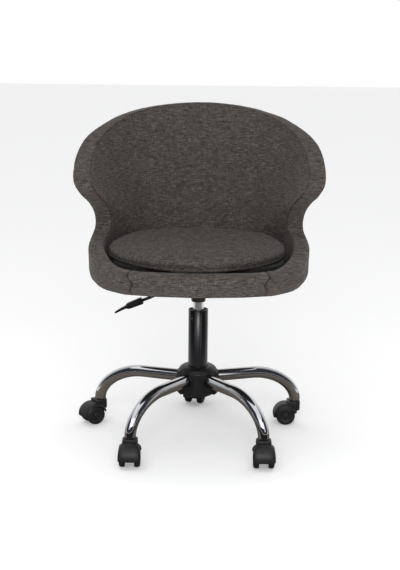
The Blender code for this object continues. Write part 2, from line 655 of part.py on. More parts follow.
def make_tub():
    upholstery = wall_ring_mesh("upholstery", upholstery_section)
    place("shell_upholstery", upholstery, (FABRIC, 0.90), seat_axis)
    place("shell_frame", wall_ring_mesh("frame", frame_section), ((0.45, 0.33, 0.20), 0.70), seat_axis)

    board = scratch("board", outline_plate("board", foot_outline(OUTER_PAD + 0.0008),
                                           BOARD_BOTTOM, BOARD_TOP))
    combine(board, bolt_holes("board_holes"))
    place("seat_board", baked(board), ((0.50, 0.38, 0.24), 0.75), seat_axis)

    pad = outline_plate("pad", foot_outline(WALL_DEPTH + PAD_GAP), BOARD_TOP + CLEARANCE,
                        CUSHION_BOTTOM - CLEARANCE)
    place("seat_pad", pad, ((0.60, 0.58, 0.50), 0.90), seat_axis)

    cover = scratch("dust", outline_plate("dust", foot_outline(0.0040), BOARD_BOTTOM - 0.0013,
                                          BOARD_BOTTOM - CLEARANCE))
    edge = PLATE_HALF + 0.0050
    window = box_mesh("window", (-edge, -edge, 0.38), (edge, edge, 0.42))
    combine(cover, cutter("dust_cover_window", window))
    place("dust_cover", baked(cover), ((0.02, 0.02, 0.02), 0.95), seat_axis)


def make_cushion():
    """A loose round pad: a flat middle, a soft crown and a rolled edge."""
    height = CUSHION_TOP - CUSHION_BOTTOM
    crown = [(0.0, 1.0), (0.35, 1.0), (0.70, 0.94), (0.89, 0.81), (0.965, 0.63), (1.0, 0.40),
             (0.998, 0.16), (0.98, 0.0), (0.0, 0.0)]
    profile = [(radius, CUSHION_BOTTOM + height * level) for radius, level in crown]
    mesh = turned_mesh("cushion", profile, 36)
    mesh.transform(Matrix.Diagonal((*CUSHION_HALF, 1, 1)))
    mesh.transform(Matrix.Translation((0, CUSHION_CENTRE_Y, 0)))
    place("seat_cushion", mesh, (FABRIC, 0.90), seat_axis)


make_hub()
make_legs()
make_caster_mounts()
make_casters()
make_column()
make_spindle()
make_cylinder()
make_mechanism()
make_lever()
make_tub()
make_cushion()
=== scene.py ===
# Looks of an adjustable swivel stool: a padded tub seat on a gas lift and five twin casters.
import math

import bmesh
import bpy
from mathutils import Matrix, Vector, geometry, noise


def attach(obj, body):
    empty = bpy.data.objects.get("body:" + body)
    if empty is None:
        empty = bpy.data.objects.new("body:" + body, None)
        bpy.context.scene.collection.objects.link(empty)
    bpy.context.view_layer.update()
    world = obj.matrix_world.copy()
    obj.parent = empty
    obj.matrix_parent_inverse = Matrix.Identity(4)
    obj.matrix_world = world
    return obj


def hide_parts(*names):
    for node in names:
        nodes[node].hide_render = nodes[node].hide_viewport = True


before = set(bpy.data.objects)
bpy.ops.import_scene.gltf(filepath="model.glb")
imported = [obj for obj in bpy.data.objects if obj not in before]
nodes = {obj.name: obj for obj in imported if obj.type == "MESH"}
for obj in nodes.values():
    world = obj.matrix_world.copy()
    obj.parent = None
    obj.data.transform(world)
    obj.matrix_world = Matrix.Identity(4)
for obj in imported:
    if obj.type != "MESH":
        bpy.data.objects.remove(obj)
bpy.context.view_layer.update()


# ---- studio: a pale floor, soft boxes and the camera ----
# The stool stands on a plain off-white floor under large soft lights. The surroundings are
# bright behind the stool and dim in front, so that the polished legs show dark and light bands.
class Mark:
    """A shader value that can be added, multiplied and compared as a number is."""

    def __init__(self, finish, socket):
        self.finish = finish
        self.socket = socket

    def reckon(self, operation, first, second):
        return self.finish.node("Math", {"operation": operation}, {0: first, 1: second})

    def __add__(self, other):
        return self.reckon("ADD", self, other)

    def __radd__(self, other):
        return self.reckon("ADD", other, self)

    def __sub__(self, other):
        return self.reckon("SUBTRACT", self, other)

    def __rsub__(self, other):
        return self.reckon("SUBTRACT", other, self)

    def __mul__(self, other):
        return self.reckon("MULTIPLY", self, other)

    def __rmul__(self, other):
        return self.reckon("MULTIPLY", other, self)

    def __pow__(self, other):
        return self.reckon("POWER", self, other)

    def __gt__(self, other):
        return self.reckon("GREATER_THAN", self, other)


class Finish:
    """A material that is built up from the nodes it needs."""

    def __init__(self, name, steady):
        self.material = bpy.data.materials.new(name)
        self.material.use_nodes = True
        self.tree = self.material.node_tree
        self.shader = self.tree.nodes["Principled BSDF"]
        for socket, value in steady.items():
            self.shader.inputs[socket].default_value = value

    def feed(self, socket, value):
        if isinstance(value, Mark):
            self.tree.links.new(value.socket, socket)
        else:
            socket.default_value = value

    def node(self, kind, settings, sockets, output=0):
        made = self.tree.nodes.new("ShaderNode" + kind)
        for name, value in settings.items():
            if name == "stops":
                while len(made.color_ramp.elements) < len(value):
                    made.color_ramp.elements.new(0.5)
                for stop, (place, shade) in zip(made.color_ramp.elements, value):
                    stop.position = place
                    stop.color = (*shade, 1.0)
            else:
                setattr(made, name, value)
        for name, value in sockets.items():
            self.feed(made.inputs[name], value)
        return Mark(self, made.outputs[output])

    def where(self, stretch=(1, 1, 1)):
        """Place on the stool in metres, squeezed along each axis by the stretch."""
        spot = self.node("TexCoord", {}, {}, "Object")
        return self.node("VectorMath", {"operation": "MULTIPLY"}, {0: spot, 1: stretch})

    def speckle(self, place, scale, detail=2.0, rough=0.55):
        return self.node("TexNoise", {}, {"Vector": place, "Scale": scale, "Detail": detail,
                                          "Roughness": rough})

    def blend(self, first, second, share):
        return self.node("Mix", {"data_type": "RGBA"}, {0: share, 6: first, 7: second}, 2)

    def relief(self, height, strength, depth):
        return self.node("Bump", {}, {"Height": height, "Strength": strength, "Distance": depth})

    def give(self, socket, value):
        self.feed(self.shader.inputs[socket], value)


FLOOR_SHADE = (0.90, 0.90, 0.90, 1.0)
FLOOR_HALF = 30.0

floor_finish = Finish("studio_floor", {"Roughness": 0.9, "Specular IOR Level": 0.1,
                                       "Emission Color": (1, 1, 1, 1), "Emission Strength": 0.20})
floor_cloud = floor_finish.speckle(floor_finish.where(), 0.8)
floor_finish.give("Base Color", floor_finish.blend(FLOOR_SHADE, (0.88, 0.88, 0.88, 1.0), floor_cloud))
floor_shape = bmesh.new()
bmesh.ops.create_grid(floor_shape, x_segments=2, y_segments=2, size=FLOOR_HALF)
floor_mesh = bpy.data.meshes.new("studio_floor")
floor_shape.to_mesh(floor_mesh)
floor_shape.free()
floor_mesh.materials.append(floor_finish.material)
studio_floor = bpy.data.objects.new("studio_floor", floor_mesh)
bpy.context.scene.collection.objects.link(studio_floor)

surroundings = bpy.data.worlds.new("surroundings")
surroundings.use_nodes = True
bpy.context.scene.world = surroundings
sky = surroundings.node_tree
sky_way = sky.nodes.new("ShaderNodeTexCoord")
sky_split = sky.nodes.new("ShaderNodeSeparateXYZ")
sky.links.new(sky_way.outputs["Generated"], sky_split.inputs[0])
sky_ramp = sky.nodes.new("ShaderNodeValToRGB")
sky_shift = sky.nodes.new("ShaderNodeMath")
sky_shift.operation = "MULTIPLY_ADD"
sky_shift.inputs[1].default_value = 0.5
sky_shift.inputs[2].default_value = 0.5
sky.links.new(sky_split.outputs["Y"], sky_shift.inputs[0])
sky.links.new(sky_shift.outputs[0], sky_ramp.inputs[0])
sky_ramp.color_ramp.elements[0].position = 0.44
sky_ramp.color_ramp.elements[0].color = (0.045, 0.050, 0.065, 1.0)
sky_ramp.color_ramp.elements[1].position = 0.72
sky_ramp.color_ramp.elements[1].color = (0.95, 0.95, 0.95, 1.0)
sky_seen = sky.nodes.new("ShaderNodeLightPath")
sky_mix = sky.nodes.new("ShaderNodeMix")
sky_mix.data_type = "RGBA"
sky.links.new(sky_seen.outputs["Is Camera Ray"], sky_mix.inputs[0])
sky.links.new(sky_ramp.outputs[0], sky_mix.inputs[6])
sky_mix.inputs[7].default_value = (1.0, 1.0, 1.0, 1.0)
sky.links.new(sky_mix.outputs[2], sky.nodes["Background"].inputs["Color"])
sky.nodes["Background"].inputs["Strength"].default_value = 1.0


def softbox(name, spot, aim, size, power):
    lamp = bpy.data.lights.new(name, "AREA")
    lamp.shape = "RECTANGLE"
    lamp.size, lamp.size_y = size
    lamp.energy = power
    box = bpy.data.objects.new(name, lamp)
    box.location = spot
    box.rotation_euler = (Vector(aim) - Vector(spot)).to_track_quat("-Z", "Y").to_euler()
    box.visible_camera = False
    bpy.context.scene.collection.objects.link(box)


softbox("soft_left", (-1.7, -2.9, 1.7), (0, 0, 0.45), (0.9, 1.9), 8)
softbox("soft_right", (1.8, -2.8, 1.5), (0, 0, 0.45), (0.8, 1.9), 7)
softbox("soft_front", (0.0, -3.6, 2.0), (0, 0, 0.55), (2.0, 1.4), 76)

overhead = bpy.data.lights.new("overhead", "SUN")
overhead.energy = 1.15
overhead.angle = math.radians(70)
overhead_spot = bpy.data.objects.new("overhead", overhead)
overhead_spot.rotation_euler = (math.radians(16), math.radians(-6), 0)
bpy.context.scene.collection.objects.link(overhead_spot)


def dark_flag(name, low, high, height, cloth_tone, fold_tone):
    """A cloth on the floor that only polished metal mirrors, as a darker band."""
    shape = bmesh.new()
    bmesh.ops.create_grid(shape, x_segments=1, y_segments=1, size=0.5)
    for corner in shape.verts:
        corner.co = Vector((low[0] + (corner.co.x + 0.5) * (high[0] - low[0]),
                            low[1] + (corner.co.y + 0.5) * (high[1] - low[1]), height))
    mesh = bpy.data.meshes.new(name)
    shape.to_mesh(mesh)
    shape.free()
    cloth = Finish(name, {"Roughness": 1.0, "Specular IOR Level": 0.0})
    folds = cloth.speckle(cloth.where(), 8.0)
    cloth.give("Base Color", cloth.blend(cloth_tone, fold_tone, folds))
    mesh.materials.append(cloth.material)
    flag = bpy.data.objects.new(name, mesh)
    flag.visible_camera = False
    flag.visible_diffuse = False
    flag.visible_shadow = False
    bpy.context.scene.collection.objects.link(flag)


dark_flag("front_flag", (-2.2, -3.6), (2.2, -0.34), 0.004,
          (0.030, 0.022, 0.016, 1.0), (0.016, 0.016, 0.020, 1.0))
dark_flag("near_flag", (-1.0, -0.34), (1.0, 0.50), 0.003,
          (0.42, 0.365, 0.30, 1.0), (0.030, 0.030, 0.038, 1.0))

CAMERA_SPOT = (0.0036, -2.7102, 0.9715)
CAMERA_TILT, CAMERA_ROLL = 77.95, 0.60
CAMERA_LENS = 69.0

viewer = bpy.data.cameras.new("viewer")
viewer.lens = CAMERA_LENS
viewer.sensor_width = 36.0
viewer.clip_end = 200.0
view_point = bpy.data.objects.new("viewer", viewer)
view_turn = Matrix.Rotation(math.radians(CAMERA_TILT), 4, "X") @ Matrix.Rotation(
    math.radians(CAMERA_ROLL), 4, "Z")
view_point.matrix_world = Matrix.Translation(CAMERA_SPOT) @ view_turn
bpy.context.scene.collection.objects.link(view_point)
bpy.context.scene.camera = view_point
bpy.context.scene.view_settings.view_transform = "Standard"


# ---- base hub: one moulded centre that grips the legs and the column ----
# Glass-filled nylon moulding with a thick lip round each of its five sockets and a rounded rib
# between each pair of legs that flares at its foot; the column is pressed into its bore.
BLACK_PLASTIC = (0.0075, 0.0075, 0.0085, 1.0)
BLACK_SCUFF = (0.013, 0.013, 0.014, 1.0)
LEG_TURNS = [math.radians(-54 + 72 * leg) for leg in range(5)]
LEG_HEIGHT = 0.1510
LEG_HALF_WIDTH, LEG_HALF_HEIGHT = 0.0150, 0.0160
HUB_PROFILE = [(0.0254, 0.1710), (0.0254, 0.1828), (0.0262, 0.1835), (0.0320, 0.1835),
               (0.0400, 0.1818), (0.0462, 0.1775), (0.0496, 0.1710), (0.0508, 0.1640),
               (0.0508, 0.1290), (0.0488, 0.1200), (0.0440, 0.1120), (0.0390, 0.1076),
               (0.0350, 0.1072), (0.0254, 0.1072), (0.0254, 0.1140)]


def moulded(name, shade, scuff, rough, grain):
    """Matte black moulding plastic with a fine spark-eroded grain."""
    finish = Finish(name, {"Specular IOR Level": 0.32})
    cloud = finish.speckle(finish.where(), 38.0, 3.0)
    finish.give("Base Color", finish.blend(shade, scuff, cloud))
    finish.give("Roughness", rough - 0.07 + 0.14 * cloud)
    pits = finish.speckle(finish.where(), 1500.0, 2.0)
    finish.give("Normal", finish.relief(pits, grain, 0.0003))
    return finish.material


def turned(profile, sides=64):
    """Turns (radius, height) points once about the upright axis."""
    shape = bmesh.new()
    points = [shape.verts.new((radius, 0, height)) for radius, height in profile]
    lines = [shape.edges.new(pair) for pair in zip(points, points[1:])]
    bmesh.ops.spin(shape, geom=points + lines, cent=(0, 0, 0), axis=(0, 0, 1), dvec=(0, 0, 0),
                   angle=2 * math.pi, steps=sides, use_merge=True, use_duplicate=False)
    bmesh.ops.remove_doubles(shape, verts=shape.verts, dist=0.000005)
    bmesh.ops.recalc_face_normals(shape, faces=shape.faces)
    return shape


def swept(rings):
    """Joins closed loops of points one after another and closes both ends."""
    shape = bmesh.new()
    loops = []
    for place, sides in rings:
        circle = bmesh.ops.create_circle(shape, segments=sides, radius=1.0, matrix=place)
        around = set()
        for corner in circle["verts"]:
            around.update(corner.link_edges)
        loops.append(list(around))
    for near, far in zip(loops, loops[1:]):
        bmesh.ops.bridge_loops(shape, edges=near + far)
    bmesh.ops.holes_fill(shape, edges=[e for e in shape.edges if e.is_boundary], sides=0)
    bmesh.ops.recalc_face_normals(shape, faces=shape.faces)
    return shape


def rounded(shape, width, steps=3, turn=35):
    """Rounds every edge that is sharper than the turn."""
    sharp = [e for e in shape.edges if len(e.link_faces) == 2
             and e.calc_face_angle(0.0) > math.radians(turn)]
    bmesh.ops.bevel(shape, geom=sharp, offset=width, offset_type="OFFSET", affect="EDGES",
                    segments=steps, profile=0.5, material=-1, clamp_overlap=True)
    return shape


def gathered(shapes):
    """One shape from several that are moulded or welded together."""
    whole = bmesh.new()
    for shape in shapes:
        part = bpy.data.meshes.new("part")
        shape.to_mesh(part)
        shape.free()
        whole.from_mesh(part)
        bpy.data.meshes.remove(part)
    return whole


def moved(shape, place):
    bmesh.ops.transform(shape, matrix=place, verts=shape.verts)
    return shape


def add_piece(name, shape, material, body, slot, *stands_for):
    """Puts a finished shape on its body with its material."""
    mesh = bpy.data.meshes.new(name)
    shape.to_mesh(mesh)
    shape.free()
    mesh.materials.append(material)
    mesh.shade_smooth()
    mesh.set_sharp_from_angle(angle=math.radians(42))
    made = bpy.data.objects.new(name, mesh)
    bpy.context.scene.collection.objects.link(made)
    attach(made, body)
    if stands_for:
        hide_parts(*stands_for)
    return made


def socket_lip(turn):
    """A thick rounded lip round one leg socket."""
    lip = turned([(1.02, 0.034), (1.24, 0.034), (1.19, 0.0480), (1.15, 0.0515), (1.09, 0.0526),
                  (1.04, 0.0515), (1.02, 0.0480), (1.02, 0.034)], 40)
    size = Matrix.Diagonal((LEG_HALF_HEIGHT, LEG_HALF_WIDTH, 1, 1))
    level = Matrix.Rotation(math.radians(90), 4, "Y")
    return moved(lip, Matrix.Translation((0, 0, LEG_HEIGHT)) @ Matrix.Rotation(turn, 4, "Z")
                 @ level @ size)


def hub_rib(turn):
    """The rounded rib between two legs, wider at its foot."""
    rib = bmesh.new()
    bmesh.ops.create_cube(rib, size=1.0)
    bmesh.ops.subdivide_edges(rib, edges=rib.edges[:], cuts=5, use_grid_fill=True)
    for corner in rib.verts:
        height = corner.co.z + 0.5
        flare = 0.0128 + 0.0030 * (1 - height) ** 2
        corner.co = Vector((0.0395 + corner.co.x * 0.0270, corner.co.y * 2 * flare,
                            0.1110 + 0.0625 * height))
    rounded(rib, 0.0075, 4)
    return moved(rib, Matrix.Rotation(turn, 4, "Z"))


hub_plastic = moulded("hub_plastic", BLACK_PLASTIC, BLACK_SCUFF, 0.42, 0.18)
hub_shapes = [rounded(turned(HUB_PROFILE, 80), 0.0008, 2)]
hub_shapes += [socket_lip(turn) for turn in LEG_TURNS]
hub_shapes += [hub_rib(turn + math.radians(36)) for turn in LEG_TURNS]
add_piece("hub_moulding", gathered(hub_shapes), hub_plastic, "base", "black_plastic", "base_hub")


# ---- legs: five bent tubes ----
# Round-oval steel tube, bent down at its end over the caster and chrome plated; each is driven
# into its socket in the hub and holds a pressed cup for the caster's stem.
CHROME_TONE = (0.60, 0.60, 0.61, 1.0)
CHROME_DULL = (0.50, 0.51, 0.53, 1.0)
STEM_CIRCLE = 0.2725
LEG_STATIONS = (((0.0300, 0.1510), (0.0300, 0.1510), (0.0700, 0.1510), 1.0),
                ((0.1500, 0.1510), (0.1100, 0.1510), (0.2150, 0.1510), 0.97),
                ((0.2725, 0.0660), (0.2725, 0.1100), (0.2725, 0.0660), 0.90))
LEG_WALL = 0.0016


def plated(name, tone, dull, rough):
    """Bright plating with faint haze."""
    finish = Finish(name, {"Metallic": 1.0})
    haze = finish.speckle(finish.where((1, 1, 2)), 26.0, 3.0)
    finish.give("Base Color", finish.blend(tone, dull, haze))
    finish.give("Roughness", rough + 0.05 * haze)
    return finish.material


def leg_ring(spot, along, scale, trim=0.0):
    """The tube's oval section square to its run."""
    across = Vector((0, 1, 0))
    up = along.cross(across).normalized()
    place = Matrix.Translation(spot).to_4x4()
    place.col[0] = (*(across * (LEG_HALF_WIDTH * scale - trim)), 0)
    place.col[1] = (*(up * (LEG_HALF_HEIGHT * scale - trim)), 0)
    place.col[2] = (*along, 0)
    return place, 40


def bent_leg():
    spots, sizes = [], []
    for first, second in zip(LEG_STATIONS, LEG_STATIONS[1:]):
        ends = [Vector((x, 0, z)) for x, z in (first[0], first[2], second[1], second[0])]
        run = geometry.interpolate_bezier(*ends, 22)
        shares = [k / 21 for k in range(22)]
        if spots:
            run, shares = run[1:], shares[1:]
        spots += run
        sizes += [first[3] + (second[3] - first[3]) * f for f in shares]
    rings = []
    for k, spot in enumerate(spots):
        before, after = spots[max(k - 1, 0)], spots[min(k + 1, len(spots) - 1)]
        rings.append((spot, (after - before).normalized(), sizes[k]))
    outside = [leg_ring(*ring) for ring in rings]
    edge = leg_ring(*rings[-1], LEG_WALL * 0.4)
    edge[0].col[3] -= Vector((0, 0, 0.0004, 0))
    inside = [leg_ring(*ring, LEG_WALL) for ring in reversed(rings[-4:])]
    return swept(outside + [edge] + inside)


chrome = plated("leg_chrome", CHROME_TONE, CHROME_DULL, 0.045)
for leg, turn in enumerate(LEG_TURNS):
    tube = moved(bent_leg(), Matrix.Rotation(turn, 4, "Z"))
    add_piece(f"leg_tube_{leg + 1}", tube, chrome, "base", "chrome", f"leg_{leg + 1}")
    nodes[f"caster_socket_{leg + 1}"].data.materials.clear()
    nodes[f"caster_socket_{leg + 1}"].data.materials.append(chrome)


# ---- casters: a hood, two wheels, an axle and a stem each ----
# The hood is one charcoal moulding: a barrel guard over both wheels, a web between them and a
# block round the steel stem. The wheels are moulded with a dished face and a round cap.
CASTER_PLASTIC = (0.0095, 0.0095, 0.0105, 1.0)
CASTER_WORN = (0.017, 0.017, 0.018, 1.0)
WHEEL_PLASTIC = (0.0085, 0.0085, 0.0090, 1.0)
WHEEL_WORN = (0.018, 0.018, 0.018, 1.0)
STEEL_TONE = (0.45, 0.46, 0.47, 1.0)
STEEL_DULL = (0.33, 0.34, 0.35, 1.0)
TRAIL, WHEEL_HEIGHT = 0.0240, 0.0250
HOOD_START, HOOD_SWEEP = math.radians(-7.0), math.radians(169.0)
HOOD_TOP = 0.0635
GUARD_HALF = [(0.0, 0.0325), (0.0120, 0.0324), (0.0180, 0.0319), (0.0222, 0.0308),
              (0.0250, 0.0290), (0.0266, 0.0270), (0.0274, 0.0250), (0.0262, 0.0246),
              (0.0215, 0.0258), (0.0105, 0.0262), (0.0105, 0.0036)]
WHEEL_PROFILE = [(0.0, 0.0263), (0.0050, 0.0262), (0.0066, 0.0256), (0.0074, 0.0244),
                 (0.0082, 0.0238), (0.0140, 0.0244), (0.0156, 0.0252), (0.0186, 0.0254),
                 (0.0212, 0.0250), (0.0232, 0.0238), (0.0244, 0.0218), (0.0250, 0.0190),
                 (0.0250, 0.0140), (0.0245, 0.0122), (0.0236, 0.0116), (0.0031, 0.0116),
                 (0.0031, 0.0240), (0.0, 0.0240)]
CASTER_HEADINGS = (-90, 180, 252, 215, -90)


def caster_guard():
    """The barrel guard and its web, swept round the axle."""
    outline = GUARD_HALF + [(-y, reach) for y, reach in reversed(GUARD_HALF[1:])]
    shape = bmesh.new()
    points = [shape.verts.new((TRAIL + reach, y, WHEEL_HEIGHT)) for y, reach in outline]
    lines = [shape.edges.new(pair) for pair in zip(points, points[1:] + points[:1])]
    axle = (TRAIL, 0, WHEEL_HEIGHT)
    bmesh.ops.rotate(shape, cent=axle, matrix=Matrix.Rotation(-HOOD_START, 3, "Y"), verts=points)
    bmesh.ops.spin(shape, geom=points + lines, cent=axle, axis=(0, -1, 0), dvec=(0, 0, 0),
                   angle=HOOD_SWEEP, steps=36, use_merge=False, use_duplicate=False)
    bmesh.ops.holes_fill(shape, edges=[e for e in shape.edges if e.is_boundary], sides=0)
    bmesh.ops.recalc_face_normals(shape, faces=shape.faces)
    for corner in shape.verts:
        rise = min(1.0, max(0.0, (corner.co.z - 0.034) / 0.024))
        corner.co.y *= 1 - 0.10 * rise * rise * (3 - 2 * rise)
    return rounded(shape, 0.0006, 2, 50)


def stem_block():
    """The block round the stem: square in front, round behind."""
    block = bmesh.new()
    bmesh.ops.create_cube(block, size=1.0)
    bmesh.ops.scale(block, vec=(0.0345, 0.0370, 0.0255), verts=block.verts)
    bmesh.ops.translate(block, vec=(0.00275, 0, HOOD_TOP - 0.01275), verts=block.verts)
    back = [e for e in block.edges if all(v.co.x < 0 for v in e.verts)
            and abs(e.verts[0].co.z - e.verts[1].co.z) > 0.01]
    bmesh.ops.bevel(block, geom=back, offset=0.0135, offset_type="OFFSET", affect="EDGES",
                    segments=8, profile=0.5, material=-1)
    return rounded(block, 0.0022, 3)


caster_plastic = moulded("caster_plastic", CASTER_PLASTIC, CASTER_WORN, 0.46, 0.22)
wheel_plastic = moulded("wheel_plastic", WHEEL_PLASTIC, WHEEL_WORN, 0.50, 0.10)
steel = plated("zinc_steel", STEEL_TONE, STEEL_DULL, 0.26)
for leg, turn in enumerate(LEG_TURNS):
    number = leg + 1
    stand = Matrix.Translation((STEM_CIRCLE * math.cos(turn), STEM_CIRCLE * math.sin(turn), 0))
    stand = stand @ Matrix.Rotation(math.radians(CASTER_HEADINGS[leg]), 4, "Z")
    hood = moved(gathered([caster_guard(), stem_block()]), stand)
    add_piece(f"hood_{number}", hood, caster_plastic, f"caster_{number}", "caster_plastic",
              f"caster_hood_{number}")
    for side, tilt in (("left", -90), ("right", 90)):
        wheel = rounded(turned(WHEEL_PROFILE, 48), 0.0004, 1, 50)
        upright = Matrix.Translation((TRAIL, 0, WHEEL_HEIGHT)) @ Matrix.Rotation(
            math.radians(tilt), 4, "X")
        add_piece(f"wheel_{side}_{number}", moved(wheel, stand @ upright), wheel_plastic,
                  f"wheel_{side}_{number}", "wheel_plastic", f"caster_wheel_{side}_{number}")
    for hidden in (f"caster_stem_{number}", f"caster_axle_{number}"):
        nodes[hidden].data.materials.clear()
        nodes[hidden].data.materials.append(steel)


# ---- column: the fixed tube of the gas lift ----
# Drawn steel tube in satin black paint with a plastic guide bush in its mouth, and a small
# spring clip in a window near the top. It stands in the hub's bore on a ball race.
PAINT_BLACK = (0.0050, 0.0050, 0.0062, 1.0)
PAINT_WORN = (0.0090, 0.0090, 0.0105, 1.0)
COLUMN_RADIUS = 0.0250
COLUMN_PROFILE = [(0.0062, 0.1030), (0.0230, 0.1030), (0.0230, 0.3310), (0.0246, 0.3310),
                  (0.0250, 0.3305), (0.0250, 0.1006), (0.0244, 0.1000), (0.0062, 0.1000),
                  (0.0062, 0.1030)]
CLIP_TURN = math.radians(-128)
CLIP_HALF = (0.0045, 0.0085)
CLIP_HEIGHT = 0.3130


def painted(name, shade, worn, rough):
    """Satin paint with a light orange-peel surface."""
    finish = Finish(name, {"Specular IOR Level": 0.38, "Coat Roughness": 0.16, "Coat Weight": 0.16})
    cloud = finish.speckle(finish.where((1, 1, 0.3)), 30.0, 3.0)
    finish.give("Base Color", finish.blend(shade, worn, cloud))
    finish.give("Roughness", rough + 0.08 * cloud)
    peel = finish.speckle(finish.where(), 620.0, 1.0)
    finish.give("Normal", finish.relief(peel, 0.08, 0.0004))
    return finish.material


column_paint = painted("column_paint", PAINT_BLACK, PAINT_WORN, 0.20)
add_piece("column", turned(COLUMN_PROFILE, 80), column_paint, "base", "column_paint", "column_tube")

clip = bmesh.new()
bmesh.ops.create_grid(clip, x_segments=8, y_segments=8, size=1.0)
for corner in clip.verts:
    swing = CLIP_TURN + corner.co.x * CLIP_HALF[0] / COLUMN_RADIUS
    corner.co = Vector((math.cos(swing) * 0.02515, math.sin(swing) * 0.02515,
                        CLIP_HEIGHT + corner.co.y * CLIP_HALF[1]))
bmesh.ops.solidify(clip, geom=clip.faces[:], thickness=0.0006)
bmesh.ops.recalc_face_normals(clip, faces=clip.faces)
bush_plastic = moulded("bush_plastic", (0.010, 0.010, 0.010, 1.0), (0.022, 0.022, 0.022, 1.0), 0.55, 0.2)
add_piece("column_clip", rounded(clip, 0.0002, 1), bush_plastic, "base", "bush_plastic")
rivet = rounded(turned([(0.0, 0.0), (0.0016, 0.0), (0.0016, 0.0007), (0.0, 0.0010)], 16), 0.0002, 2)
rivet_turn = Matrix.Rotation(CLIP_TURN, 4, "Z") @ Matrix.Translation((0.0252, 0, CLIP_HEIGHT - 0.003))
add_piece("clip_rivet", moved(rivet, rivet_turn @ Matrix.Rotation(math.radians(90), 4, "Y")),
          steel, "base", "steel")

brass = plated("brass_cage", (0.60, 0.44, 0.18, 1.0), (0.48, 0.34, 0.14, 1.0), 0.30)
for name, finish in (("guide_bush", bush_plastic), ("thrust_race_lower", steel), ("ball_cage", brass)):
    nodes[name].data.materials.clear()
    nodes[name].data.materials.append(finish)


# ---- gas spring: rod, bumper and chromed cylinder ----
# Ground steel rod fixed at the column's foot with a clip; a hard-chromed cylinder slides up it
# through the bush and tapers into the cup under the seat. A pin on top opens the valve.
CYLINDER_PROFILE = [(0.0027, 0.3900), (0.0128, 0.3900), (0.0132, 0.3894), (0.0140, 0.3600),
                    (0.0140, 0.1341), (0.0134, 0.1335), (0.0052, 0.1335), (0.0052, 0.1400),
                    (0.0122, 0.1400), (0.0122, 0.3800), (0.0027, 0.3800), (0.0027, 0.3900)]

cylinder_chrome = plated("cylinder_chrome", (0.90, 0.90, 0.91, 1.0), (0.82, 0.83, 0.84, 1.0), 0.34)
add_piece("cylinder", turned(CYLINDER_PROFILE, 72), cylinder_chrome, "seat", "chrome", "gas_cylinder")
rubber = moulded("bumper_rubber", (0.014, 0.014, 0.014, 1.0), (0.024, 0.024, 0.024, 1.0), 0.80, 0.3)
for name, finish in (("piston_rod", cylinder_chrome), ("thrust_race_upper", steel),
                     ("retaining_clip", steel), ("rubber_bumper", rubber), ("release_pin", steel)):
    nodes[name].data.materials.clear()
    nodes[name].data.materials.append(finish)


# ---- mechanism: the pressed plate, its taper cup and the height lever ----
# Folded steel plate in black paint, screwed to the seat board by four bolts. The lever is a
# bent rod on a cross pin through the bracket, with a flat moulded grip that ends in a thin tail.
GRIP_STATIONS = [(-0.1420, 0.35170, 0.0050, 0.0050), (-0.1426, 0.35145, 0.0100, 0.0078),
                 (-0.1440, 0.35085, 0.0108, 0.0084), (-0.1520, 0.34755, 0.0112, 0.0084),
                 (-0.1660, 0.34180, 0.0116, 0.0080), (-0.1780, 0.33700, 0.0114, 0.0076),
                 (-0.1812, 0.33565, 0.0104, 0.0066), (-0.1832, 0.33475, 0.0088, 0.0044),
                 (-0.1870, 0.33285, 0.0082, 0.0036), (-0.1930, 0.32980, 0.0074, 0.0033),
                 (-0.2010, 0.32540, 0.0064, 0.0030), (-0.2075, 0.32150, 0.0054, 0.0026),
                 (-0.2115, 0.31890, 0.0044, 0.0021), (-0.2130, 0.31800, 0.0022, 0.0011)]


def lever_grip():
    """A flat bar with squared sides that thins into a curved tail."""
    shape = bmesh.new()
    loops = []
    for k, (x, z, half_width, half_height) in enumerate(GRIP_STATIONS):
        before = GRIP_STATIONS[max(k - 1, 0)]
        after = GRIP_STATIONS[min(k + 1, len(GRIP_STATIONS) - 1)]
        lean = math.atan2(after[1] - before[1], before[0] - after[0])
        circle = bmesh.ops.create_circle(shape, segments=32, radius=1.0)
        for corner in circle["verts"]:
            swing = math.atan2(corner.co.y, corner.co.x)
            wide = math.copysign(abs(math.cos(swing)) ** 0.45, math.cos(swing)) * half_width
            tall = math.copysign(abs(math.sin(swing)) ** 0.45, math.sin(swing)) * half_height
            corner.co = Vector((x + math.sin(lean) * tall, wide, z + math.cos(lean) * tall))
        around = set()
        for corner in circle["verts"]:
            around.update(corner.link_edges)
        loops.append(list(around))
    for near, far in zip(loops, loops[1:]):
        bmesh.ops.bridge_loops(shape, edges=near + far)
    bmesh.ops.holes_fill(shape, edges=[e for e in shape.edges if e.is_boundary], sides=0)
    bmesh.ops.recalc_face_normals(shape, faces=shape.faces)
    return shape


plate_paint = painted("plate_paint", (0.014, 0.014, 0.016, 1.0), (0.024, 0.024, 0.026, 1.0), 0.38)
lever_paint = painted("lever_paint", (0.020, 0.020, 0.022, 1.0), (0.036, 0.036, 0.038, 1.0), 0.34)
cup = turned([(0.0142, 0.3880), (0.0142, 0.3515), (0.0174, 0.3515), (0.0180, 0.3521),
              (0.0217, 0.3880), (0.0142, 0.3880)], 72)
add_piece("taper_cup", cup, plate_paint, "seat", "black_paint")
grip_plastic = moulded("grip_plastic", BLACK_PLASTIC, BLACK_SCUFF, 0.38, 0.15)
add_piece("lever_grip", lever_grip(), grip_plastic, "lever", "black_plastic", "lever_handle")
for name, finish in (("mechanism_plate", plate_paint), ("lever_rod", lever_paint)):
    nodes[name].data.materials.clear()
    nodes[name].data.materials.append(finish)
for number in range(1, 5):
    nodes[f"mounting_bolt_{number}"].data.materials.clear()
    nodes[f"mounting_bolt_{number}"].data.materials.append(steel)


